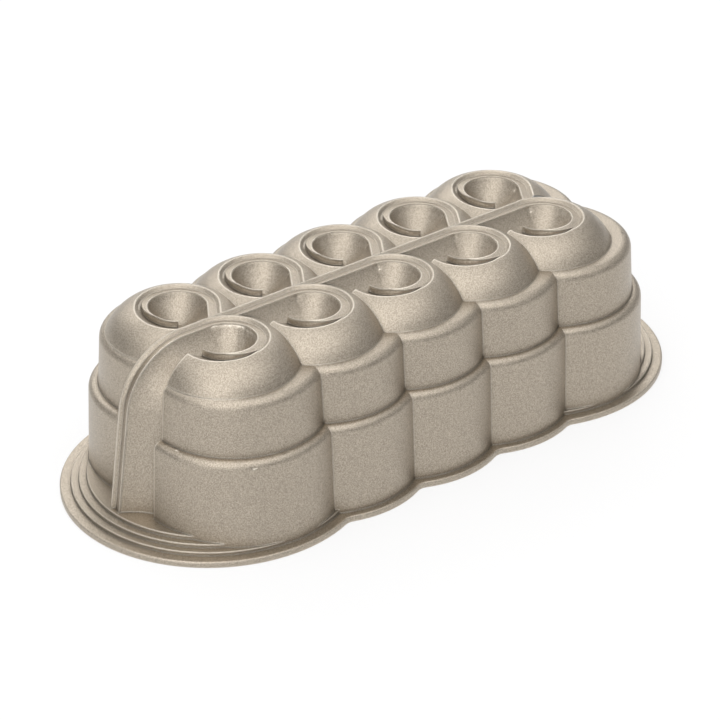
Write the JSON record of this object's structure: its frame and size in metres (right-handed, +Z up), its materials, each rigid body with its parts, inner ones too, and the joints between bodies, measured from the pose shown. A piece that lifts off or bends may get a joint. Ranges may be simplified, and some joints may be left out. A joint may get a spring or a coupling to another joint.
{
  "type": "swirled loaf cake pan",
  "caption": "Cast loaf-shaped cake pan with two rows of swirled, stepped lobes and a flat scalloped flange, standing upside down on its rim.",
  "frame": {"origin": "middle of the rim's resting face, where the pan stands upside down", "axes": "+Z up from the resting face to the swirls, X along the pan with the end ribbon at -X, the front row of lobes on the -Y side"},
  "size_m": [0.3028, 0.1308, 0.0794],
  "materials": {
    "cast_metal": "as-cast satin",
    "champagne_coat": "satin metallic with a fine grain",
    "nonstick_coat": "smooth satin release coat"
  },
  "bodies": {
    "root": {"cast_body": "cast_metal", "outer_coating": "champagne_coat", "nonstick_lining": "nonstick_coat"}
  },
  "joints": []
}
